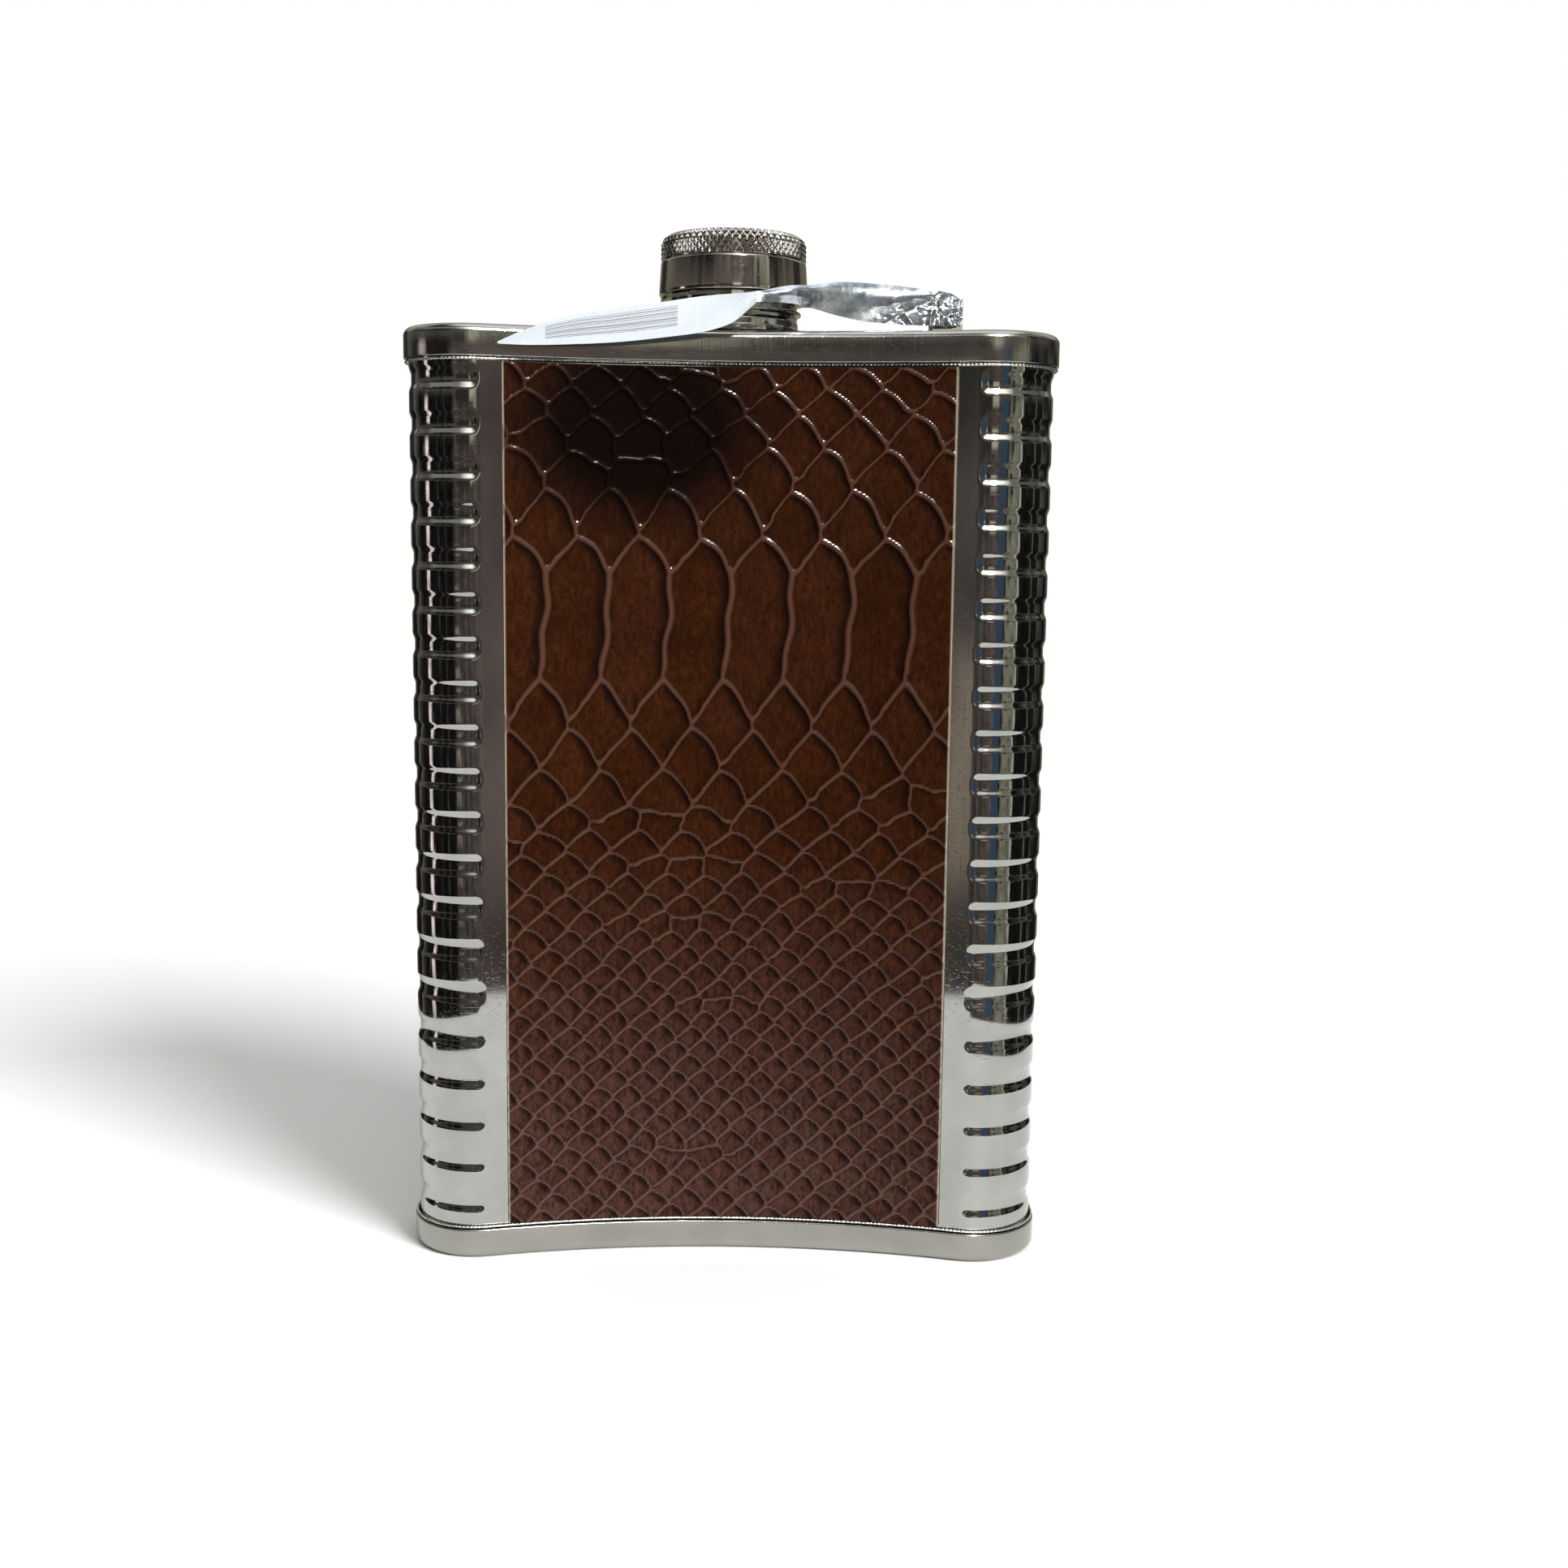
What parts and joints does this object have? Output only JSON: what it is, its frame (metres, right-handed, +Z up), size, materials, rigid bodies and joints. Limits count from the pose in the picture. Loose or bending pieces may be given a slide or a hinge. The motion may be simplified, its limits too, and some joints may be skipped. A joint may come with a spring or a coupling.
{
  "type": "hip flask",
  "caption": "Curved steel hip flask with grooved sides, dark brown embossed leather panels and a knurled screw cap held on a hinged arm.",
  "frame": {"origin": "bottom centre of the bounding box, on the resting face", "axes": "+X across the width towards the cap's hinge, +Y from the concave front to the convex back, +Z up through the neck"},
  "size_m": [0.095, 0.0275, 0.1513],
  "materials": {
    "polished_steel": "mirror-polished stainless steel with fine handling scratches",
    "satin_steel": "polished stainless steel with fine vertical satin marks",
    "weld_steel": "fine beaded weld",
    "leather": "dark brown, embossed snake-scale grain, slightly glossy",
    "glue": "thin dried adhesive",
    "gasket": "pale food-grade silicone",
    "label_paper": null,
    "clear_film": "clear glossy film, crumpled"
  },
  "bodies": {
    "flask": {"body_shell": "polished_steel", "top_cover": "satin_steel", "base_cover": "satin_steel", "top_weld_bead": "weld_steel", "base_weld_bead": "weld_steel", "neck_spout": "satin_steel", "neck_collar": "polished_steel", "leather_front": "leather", "leather_back": "leather", "adhesive_front": "glue", "adhesive_back": "glue", "hinge_bracket": "polished_steel", "hinge_pin": "satin_steel"},
    "arm": {"hinge_arm": "polished_steel", "price_tag": "label_paper", "tag_tail": "clear_film"},
    "retainer": {"cap_retainer": "satin_steel"},
    "cap": {"cap_shell": "polished_steel", "cap_thread_liner": "satin_steel", "cap_gasket": "gasket"}
  },
  "joints": [
    {"name": "arm_swing", "type": "hinge", "parent": "flask", "child": "arm", "pos_m": [0.0317, 0.0024, 0.14], "axis": [0, 1, 0], "range_deg": [0, 120]},
    {"name": "cap_lift", "type": "slide", "parent": "arm", "child": "retainer", "axis": [0, 0, 1], "range_m": [0, 0.00126]},
    {"name": "cap_turn", "type": "hinge", "parent": "retainer", "child": "cap", "pos_m": [0, 0.0024, 0.1423], "axis": [0, 0, 1], "range_deg": [0, 360]}
  ],
  "couplings": [
    {"joint": "cap_lift", "follows": "cap_turn", "m_per_rad": 0.00019894}
  ]
}
